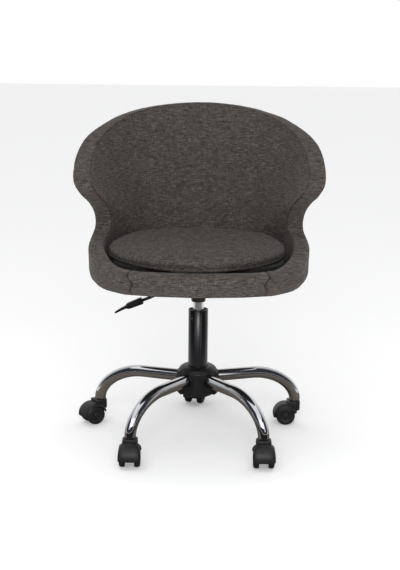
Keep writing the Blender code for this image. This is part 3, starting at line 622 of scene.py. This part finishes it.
# ---- seat board, inner frame and dust cover ----
# Board cut to the tub's plan and wrapped in black lining; a bent birch plywood frame stands on it
# inside the padding. A thin black felt is stapled under the board round the mechanism.
# Each trim is the cut at the front edge and the further cut at the sides.
TRIM_START, TRIM_SIDE_REACH = 0.16, 0.25
BOARD_TRIM, FELT_TRIM = (0.0032, 0.0085), (0.0092, 0.0085)


def birch(name):
    """Pale plywood with thin darker grain."""
    finish = Finish(name, {"Roughness": 0.62})
    cloud = finish.speckle(finish.where((3, 40, 40)), 2.4, 4.0)
    finish.give("Base Color", finish.node("ValToRGB", {"stops": [
        (0.30, (0.36, 0.24, 0.13)), (0.50, (0.52, 0.38, 0.23)), (0.72, (0.60, 0.46, 0.30))]},
        {0: cloud}))
    fibre = finish.speckle(finish.where((20, 260, 260)), 2.0, 2.0)
    finish.give("Normal", finish.relief(fibre, 0.2, 0.0005))
    return finish.material


def felt(name):
    """Thin pressed felt."""
    finish = Finish(name, {"Roughness": 0.95, "Specular IOR Level": 0.2, "Sheen Weight": 0.1})
    cloud = finish.speckle(finish.where(), 60.0, 3.0)
    finish.give("Base Color", finish.blend((0.012, 0.012, 0.012, 1.0), (0.030, 0.030, 0.030, 1.0), cloud))
    fibre = finish.speckle(finish.where((1, 1, 1)), 900.0, 2.0)
    finish.give("Normal", finish.relief(fibre, 0.5, 0.0006))
    return finish.material


def copied(node):
    """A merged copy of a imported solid."""
    shape = bmesh.new()
    shape.from_mesh(nodes[node].data)
    bmesh.ops.remove_doubles(shape, verts=shape.verts, dist=0.00001)
    bmesh.ops.recalc_face_normals(shape, faces=shape.faces)
    return shape


def trimmed(node, front, side):
    """A packed sheet with its edge cut back, a little in front and more at the sides."""
    shape = copied(node)
    for corner in shape.verts:
        if math.hypot(corner.co.x, corner.co.y) > TRIM_START:
            inward = Vector((-corner.co.x, -corner.co.y, 0)).normalized()
            corner.co += inward * (front + side * min(1.0, abs(corner.co.x) / TRIM_SIDE_REACH) ** 3)
    return shape


nodes["shell_frame"].data.materials.clear()
nodes["shell_frame"].data.materials.append(birch("birch_plywood"))
board_shape = rounded(trimmed("seat_board", *BOARD_TRIM), 0.0008, 2)
add_piece("wrapped_board", board_shape, felt("board_wrap"), "seat", "plywood", "seat_board")
felt_shape = trimmed("dust_cover", *FELT_TRIM)
add_piece("felt_cover", felt_shape, felt("black_felt"), "seat", "lining", "dust_cover")


# ---- padded tub: foam over the frame under a sewn woven cover ----
# The wall is 44 mm thick, low in front and winged at the back. Its cover is a taupe melange
# weave with slubs, seamed along the inner edge of the rim and down the front on each side.
RIM = [(0.0000, -0.2450, 0.4670), (0.1300, -0.2430, 0.4675), (0.2060, -0.2020, 0.4700),
       (0.2520, -0.1250, 0.4810), (0.2750, -0.0350, 0.4960), (0.2770, 0.0300, 0.5080),
       (0.2680, 0.0620, 0.5320), (0.2680, 0.0520, 0.5620), (0.2770, 0.0120, 0.5960),
       (0.2960, -0.0280, 0.6260), (0.3095, -0.0360, 0.6550), (0.3140, -0.0080, 0.6830),
       (0.3120, 0.0480, 0.7160), (0.3000, 0.1080, 0.7480), (0.2710, 0.1700, 0.7760),
       (0.2200, 0.2260, 0.8040), (0.1500, 0.2640, 0.8240), (0.0750, 0.2810, 0.8350),
       (0.0000, 0.2860, 0.8390)]
FOOT_ANGLES = (0, 28, 44, 60, 78, 94, 107, 120, 132, 141, 148, 153, 157, 161, 165, 169, 173, 176.5, 180)
FOOT_HEIGHT, LIP_HEIGHT = 0.4255, 0.4130
FOOT_REACH = (0.2740, 0.2500, 0.2400)
WALL_DEPTH, SEAT_EASE = 0.0440, 0.0045
SEAT_RELIEF = 0.0060
RIM_RISE = 0.0150
RIM_PULL, FOOT_PULL = 0.30, 0.60
SEAM_DEPTH, SEAM_LEAN = 0.0020, 0.27
FOOT_SLACK = 0.0010
LOOP_TURNS = 36
SETTLE_STEPS, SETTLE_CAP = 160, 0.0140
SEAM_TURN = 1.05
FABRIC_TONES = ((0.024, 0.0200, 0.0180), (0.066, 0.0565, 0.0505), (0.145, 0.127, 0.112))


def woven(name, tones, slubs, sheen=0.08):
    """A melange weave: slub yarns along the given directions over a fine cross weave, darkened along the
    seam attribute as painted shade in the sewn grooves.
    """
    finish = Finish(name, {"Roughness": 0.90, "Specular IOR Level": 0.16, "Sheen Weight": sheen,
                           "Sheen Roughness": 0.5})
    yarn = 0.0
    for share, stretch in slubs:
        yarn = yarn + share * finish.speckle(finish.where(stretch), 1.0, 3.0, 0.6)
    cloud = finish.speckle(finish.where(), 26.0, 2.0)
    fine = finish.speckle(finish.where((1, 1, 1)), 620.0, 2.0, 0.6)
    # Painted shade: the seam attribute darkens the tone along each sewn groove, where shade falls.
    seam = finish.node("Attribute", {"attribute_name": "seam"}, {}, "Fac")
    tone = 0.84 * yarn + 0.06 * cloud + 0.10 * fine - 0.12 * seam
    finish.give("Base Color", finish.node("ValToRGB", {"stops": [
        (0.375, tones[0]), (0.50, tones[1]), (0.625, tones[2])]}, {0: tone}))
    finish.give("Normal", finish.relief(yarn * 0.6 + fine * 0.4, 0.55, 0.0016))
    return finish.material


def closed_loop(right_half):
    return right_half + [Vector((-p.x, p.y, p.z)) for p in reversed(right_half[1:-1])]


def foot_point(angle):
    across, along = math.sin(math.radians(angle)), -math.cos(math.radians(angle))
    reach = FOOT_REACH[1] if along < 0 else FOOT_REACH[2]
    return Vector((math.copysign(abs(across) ** (2 / 2.7), across) * FOOT_REACH[0],
                   math.copysign(abs(along) ** (2 / 2.7), along) * reach, FOOT_HEIGHT))


RIM_LOOP = closed_loop([Vector(point) for point in RIM])
FOOT_LOOP = closed_loop([foot_point(angle) for angle in FOOT_ANGLES])


def along_loop(loop, s):
    start = math.floor(s)
    f = s - start
    a, b, c, d = (loop[(start + k) % len(loop)] for k in (-1, 0, 1, 2))
    return 0.5 * ((2 * b) + (c - a) * f + (2 * a - 5 * b + 4 * c - d) * f * f
                  + (3 * b - a - 3 * c + d) * f * f * f)


def outward(point):
    x, y = point.x / 0.3120, point.y / 0.2860
    return Vector((math.copysign(abs(x) ** 1.6, x) / 0.3120,
                   math.copysign(abs(y) ** 1.6, y) / 0.2860, 0)).normalized()


class WallLine:
    """One upright line of the wall, from its foot to its rim."""

    def __init__(self, s):
        self.foot, self.rim = along_loop(FOOT_LOOP, s), along_loop(RIM_LOOP, s)
        self.length = (self.rim - self.foot).length
        run = (along_loop(RIM_LOOP, s + 0.05) - along_loop(RIM_LOOP, s - 0.05)).normalized()
        self.facing = outward(self.rim).cross(run).normalized()
        self.top = 1 - RIM_RISE / (self.length * 0.9)
        self.low_wall = min(1.0, max(0.0, (0.530 - self.rim.z) / 0.040))
        self.depth = WALL_DEPTH - SEAT_EASE * self.low_wall * min(1.0, abs(self.rim.x) / 0.25) ** 2

    def at(self, t, depth):
        square, cube = t * t, t * t * t
        point = (self.foot * (2 * cube - 3 * square + 1)
                 + Vector((0, 0, FOOT_PULL * self.length)) * (cube - 2 * square + t)
                 + self.rim * (3 * square - 2 * cube)
                 + self.facing * RIM_PULL * self.length * (cube - square))
        return point - outward(point) * depth

    def over(self, f):
        """The rounded rim, f from 0 at the outer face to 1 at the inner face."""
        swing = math.pi * f
        square = 0.55 + (0.35 if f < 0.5 else -0.13) * self.low_wall
        wide = (1 - math.copysign(abs(math.cos(swing)) ** square, math.cos(swing))) / 2
        tall = abs(math.sin(swing)) ** square
        low, high = self.at(self.top, self.depth * wide), self.at(1.0, self.depth * wide)
        return low + (high - low) * tall


def cover_stations():
    """Where each row of the cover lies across the wall: its zone and its share of the zone."""
    rows = [("lip", 0.0)]
    rows += [("outer", k / 24) for k in range(25)]
    rows += [("rim", k / 32) for k in range(1, 32)]
    rows += [("inner", 1 - k / 36) for k in range(37)]
    rows += [("pocket_in", k / 6) for k in range(7)]
    rows += [("pocket_out", 1 - k / 6) for k in range(7)]
    rows += [("lip", 1.0)]
    return rows


STATIONS = cover_stations()


def cover_spot(line, zone, share):
    if zone == "outer":
        spot = line.at(line.top * share, 0.0)
        low = max(0.0, 1 - (spot.z - LIP_HEIGHT) / 0.036)
        side = min(1.0, abs(spot.x) / 0.25) ** 3
        return spot - outward(spot) * (0.0095 + 0.0070 * side) * low ** 2.1
    if zone == "rim":
        return line.over(share)
    if zone == "inner":
        rise = min(1.0, share / 0.40)
        depth = WALL_DEPTH + FOOT_SLACK + (line.depth - WALL_DEPTH - FOOT_SLACK) * rise
        spot = line.at(line.top * share, depth)
        low = rise * min(1.0, max(0.0, (0.500 - spot.z) / 0.020))
        return spot + outward(spot) * SEAT_RELIEF * low * min(1.0, abs(spot.x) / 0.22) ** 2
    if zone == "pocket_in":
        return line.at((line.top - 0.02) * share, 0.0225)
    if zone == "pocket_out":
        return line.at((line.top - 0.02) * share, 0.0080)
    spot = line.at(0.0, 0.0)
    side = min(1.0, abs(spot.x) / 0.25) ** 3
    spot -= outward(spot) * (0.0100 + 0.0070 * side + 0.0008 * share)
    return Vector((spot.x, spot.y, LIP_HEIGHT))


def seam_turn(zone, share):
    """Where the front seam runs: straight up the apron, then outwards over the rim."""
    if zone == "outer":
        return SEAM_TURN + SEAM_LEAN * max(0.0, (share - 0.40) / 0.60) ** 1.8
    return SEAM_TURN + SEAM_LEAN + (0.30 * share if zone == "rim" else 0.33)


def seam_mark(s, zone, share):
    """1 on a sewn line of the cover, fading to 0 within a few millimetres of it."""
    turn = min(s % LOOP_TURNS, LOOP_TURNS - s % LOOP_TURNS)
    front = math.exp(-((turn - seam_turn(zone, share)) / 0.030) ** 2)
    if zone == "inner":
        front *= share
    around = math.exp(-((share - 0.84) / 0.030) ** 2) if zone == "rim" else 0.0
    return min(1.0, front + around)


def seam_swell(s, zone, share):
    """The slight fullness of the foam on both sides of the front seam."""
    turn = min(s % LOOP_TURNS, LOOP_TURNS - s % LOOP_TURNS)
    return math.exp(-(abs(turn - seam_turn(zone, share)) / 0.14 - 0.8) ** 2)


def cover_columns():
    """The upright lines of the cover, closer together where the front seams run."""
    turns, s = [], 0.0
    while s < LOOP_TURNS:
        turns.append(s)
        near = 0.90 < min(s, LOOP_TURNS - s) < 1.85
        s += 0.022 if near else 0.088
    return turns


def tub_cover():
    shape = bmesh.new()
    sewn = shape.verts.layers.float.new("seam")
    rows = len(STATIONS)
    turns = cover_columns()
    columns = len(turns)
    bmesh.ops.create_grid(shape, x_segments=columns, y_segments=rows, size=0.5)
    lines, marks = {}, {}
    for corner in shape.verts:
        column = round((corner.co.x + 0.5) * columns) % columns
        row = round((corner.co.y + 0.5) * rows) % rows
        s = turns[column]
        if column not in lines:
            lines[column] = WallLine(s)
        zone, share = STATIONS[row]
        corner.co = cover_spot(lines[column], zone, share)
        marks[corner] = (s, zone, share)
    shifts = {}
    for corner in shape.verts:
        s, zone, share = marks[corner]
        if zone in ("outer", "rim", "inner"):
            soft = 0.0011 * noise.noise(corner.co * 14) + 0.0006 * noise.noise(corner.co * 37)
            # The seam mark sinks the groove and is kept as the seam attribute, which the weave reads as
            # painted shade.
            corner[sewn] = seam_mark(s, zone, share)
            soft += 0.0008 * seam_swell(s, zone, share)
            shifts[corner] = soft - SEAM_DEPTH * corner[sewn]
    inside = [v for v, (s, zone, share) in marks.items() if zone == "inner" and 0.03 < share < 0.97]
    return shape, shifts, inside


cover_shape, cover_shifts, cover_inside = tub_cover()
bmesh.ops.remove_doubles(cover_shape, verts=cover_shape.verts, dist=0.00002)
bmesh.ops.recalc_face_normals(cover_shape, faces=cover_shape.faces)
cover_inside = [corner for corner in cover_inside if corner.is_valid]
unsettled = {corner: corner.co.copy() for corner in cover_inside}
for _ in range(SETTLE_STEPS):
    bmesh.ops.smooth_vert(cover_shape, verts=cover_inside, factor=0.5,
                          use_axis_x=True, use_axis_y=True, use_axis_z=True)
for corner, before in unsettled.items():
    shift = corner.co - before
    cap = SETTLE_CAP * min(1.0, max(0.35, (before.z - 0.47) / 0.09))
    if shift.length > cap:
        corner.co = before + shift.normalized() * cap
cover_shape.normal_update()
for corner, shift in cover_shifts.items():
    if corner.is_valid:
        corner.co += corner.normal * shift
tub_weave = woven("tub_weave", FABRIC_TONES, [(0.58, (62, 62, 520)), (0.42, (520, 520, 90))])
tub = add_piece("tub_cover", cover_shape, tub_weave, "seat", "fabric_shell", "shell_upholstery")


# ---- topstitching: thread lines beside the front seams ----
# Grey-brown polyester thread, a stitch every 4 mm or so, sewn in a line on both sides of each
# front seam.
THREAD_TONE = (0.075, 0.066, 0.060, 1.0)
THREAD_DULL = (0.045, 0.040, 0.036, 1.0)
STITCH_GAP, STITCH_BESIDE = 0.0042, 0.045
STITCH_HALF_WIDTH, STITCH_HALF_LENGTH = 0.00045, 0.0015


def thread_line(side, beside):
    """Small rounded stitches along a front seam of the cover."""
    spots = []
    for zone, count in (("outer", 60), ("rim", 24)):
        for k in range(count):
            share = (k + 0.5) / count
            line = WallLine(side * (seam_turn(zone, share) + beside))
            spots.append(cover_spot(line, zone, share))
    shape = bmesh.new()
    since = STITCH_GAP
    for before, after in zip(spots, spots[1:]):
        since += (after - before).length
        if since < STITCH_GAP:
            continue
        since = 0.0
        run = (after - before).normalized()
        facing = (before - Vector((0, -0.18, 0.44))).normalized()
        across = run.cross(facing).normalized()
        facing = across.cross(run)
        place = Matrix.Translation(before + facing * 0.0005).to_4x4()
        place.col[0] = (*(across * STITCH_HALF_WIDTH), 0)
        place.col[1] = (*(facing * STITCH_HALF_WIDTH), 0)
        place.col[2] = (*(run * STITCH_HALF_LENGTH), 0)
        bmesh.ops.create_uvsphere(shape, u_segments=6, v_segments=4, radius=1.0, matrix=place)
    return shape


thread = Finish("sewing_thread", {"Roughness": 0.6})
twist = thread.speckle(thread.where(), 1400.0, 1.0)
thread.give("Base Color", thread.blend(THREAD_TONE, THREAD_DULL, twist))
stitches = [thread_line(side, beside) for side in (1, -1)
            for beside in (STITCH_BESIDE, -STITCH_BESIDE)]
add_piece("front_topstitch", gathered(stitches), thread.material, "seat", "fabric_shell")


# ---- deck pad: the fixed pad under the loose cushion ----
# A foam slab in lining cloth, glued to the board clear of the wall; only its edge shows in the gap round
# the cushion, and its near-black cloth is painted shade that makes that gap read dark.
# Painted shade: the deck cloth is near-black so the gap round the cushion reads as a dark shadow.
deck_shade_weave = woven("deck_shade_weave", ((0.007, 0.006, 0.006), (0.014, 0.012, 0.011), (0.026, 0.023, 0.021)),
                   [(0.6, (85, 430, 300)), (0.4, (430, 85, 300))], 0.04)
deck_shape = rounded(copied("seat_pad"), 0.0100, 5, 40)
deck = add_piece("deck_pad", deck_shape, deck_shade_weave, "seat", "fabric_deck", "seat_pad")


# ---- seat cushion: a loose round pad ----
# A crowned foam pad with a sewn edge, in the same cloth with darker tones as painted shade on its lit top;
# it lies on the deck inside the wall.
CUSHION_CENTRE = Vector((-0.0045, -0.0200, 0.0))
CUSHION_HALF = (0.2355, 0.2180)
CUSHION_PROFILE = [(0.0, 1.0), (0.35, 1.0), (0.68, 0.95), (0.86, 0.86), (0.945, 0.72), (0.985, 0.50),
                   (0.995, 0.28), (0.988, 0.08), (0.965, 0.0), (0.0, 0.0)]
CUSHION_CAP, CUSHION_TAPER = 0.0050, 0.45
BACK_RISE = 0.0090
EDGE_SEAM = 0.955
# Painted shade: the tub cloth's tones made a little darker for the cushion, whose top faces the lights.
CUSHION_SHADED_TONES = ((0.024, 0.0205, 0.0187), (0.063, 0.0545, 0.0500), (0.138, 0.1200, 0.1100))


def swollen(name, shape, voxel, cap, pressure):
    """Blows a shape up as a stuffed cover: cloth under pressure, with its movement capped."""
    mesh = bpy.data.meshes.new(name)
    shape.to_mesh(mesh)
    shape.free()
    bag = bpy.data.objects.new(name, mesh)
    bpy.context.scene.collection.objects.link(bag)
    remesh = bag.modifiers.new("remesh", "REMESH")
    remesh.mode = "VOXEL"
    remesh.voxel_size = voxel
    bpy.context.view_layer.update()
    seen = bag.evaluated_get(bpy.context.evaluated_depsgraph_get())
    even = bpy.data.meshes.new_from_object(seen)
    bag.modifiers.clear()
    bag.data = even
    start = [vert.co.copy() for vert in even.vertices]
    cloth = bag.modifiers.new("cloth", "CLOTH")
    cloth.settings.use_pressure = True
    cloth.settings.uniform_pressure_force = pressure
    cloth.settings.quality = 5
    cloth.settings.mass = 0.3
    cloth.settings.effector_weights.gravity = 0.0
    cloth.settings.tension_stiffness = 25
    cloth.settings.compression_stiffness = 25
    cloth.settings.bending_stiffness = 4
    for step in range(1, 21):
        bpy.context.scene.frame_set(step)
    seen = bag.evaluated_get(bpy.context.evaluated_depsgraph_get())
    blown = bpy.data.meshes.new_from_object(seen)
    bag.modifiers.clear()
    bag.data = blown
    for vert, rest in zip(blown.vertices, start):
        shift = vert.co - rest
        if shift.length > cap:
            vert.co = rest + shift.normalized() * cap
    bpy.context.scene.frame_set(1)
    finished = bmesh.new()
    finished.from_mesh(bag.data)
    bpy.data.objects.remove(bag)
    return finished


cushion_start = turned([(radius * 0.98, 0.4690 + 0.0370 * level) for radius, level in CUSHION_PROFILE], 96)
cushion_start = moved(cushion_start, Matrix.Translation(CUSHION_CENTRE)
                      @ Matrix.Diagonal((*CUSHION_HALF, 1, 1)))
cushion_shape = swollen("cushion_start", cushion_start, 0.005, CUSHION_CAP, 4.0)
for corner in cushion_shape.verts:
    front = min(1.0, max(0.0, (-0.10 - corner.co.y) / 0.12))
    back = min(1.0, max(0.0, (corner.co.y + 0.08) / 0.22))
    corner.co.x *= 1 + CUSHION_TAPER * corner.co.y
    corner.co.z = max(corner.co.z, 0.4695 - 0.0025 * front)
    corner.co.z += BACK_RISE * back * back * (3 - 2 * back) - 0.0020 * front
for _ in range(4):
    bmesh.ops.smooth_vert(cushion_shape, verts=cushion_shape.verts, factor=0.5,
                          use_axis_x=True, use_axis_y=True, use_axis_z=True)
bmesh.ops.subdivide_edges(cushion_shape, edges=cushion_shape.edges[:], cuts=1, smooth=1.0,
                          use_grid_fill=True)
cushion_shape.normal_update()
for corner in cushion_shape.verts:
    corner.co += corner.normal * (0.0009 * noise.noise(corner.co * 16))
# The seam attribute on the cushion's sewn edge sinks a puckered groove and darkens the weave there as
# painted shade.
sewn_edge = cushion_shape.verts.layers.float.new("seam")
for corner in cushion_shape.verts:
    half_width = CUSHION_HALF[0] * (1 + CUSHION_TAPER * corner.co.y)
    reach = math.hypot((corner.co.x - CUSHION_CENTRE.x) / half_width,
                       (corner.co.y - CUSHION_CENTRE.y) / CUSHION_HALF[1])
    if corner.normal.z > -0.2:
        corner[sewn_edge] = math.exp(-((reach - EDGE_SEAM) / 0.012) ** 2)
        pucker = 0.7 + 0.3 * math.sin(70 * math.atan2(corner.co.y, corner.co.x))
        corner.co -= corner.normal * (0.0020 * corner[sewn_edge] * pucker)
shaded_cushion_weave = woven("shaded_cushion_weave", CUSHION_SHADED_TONES,
                      [(0.60, (72, 330, 420)), (0.40, (420, 80, 420))], 0.03)
cushion = add_piece("cushion", cushion_shape, shaded_cushion_weave, "seat", "fabric_cushion", "seat_cushion")
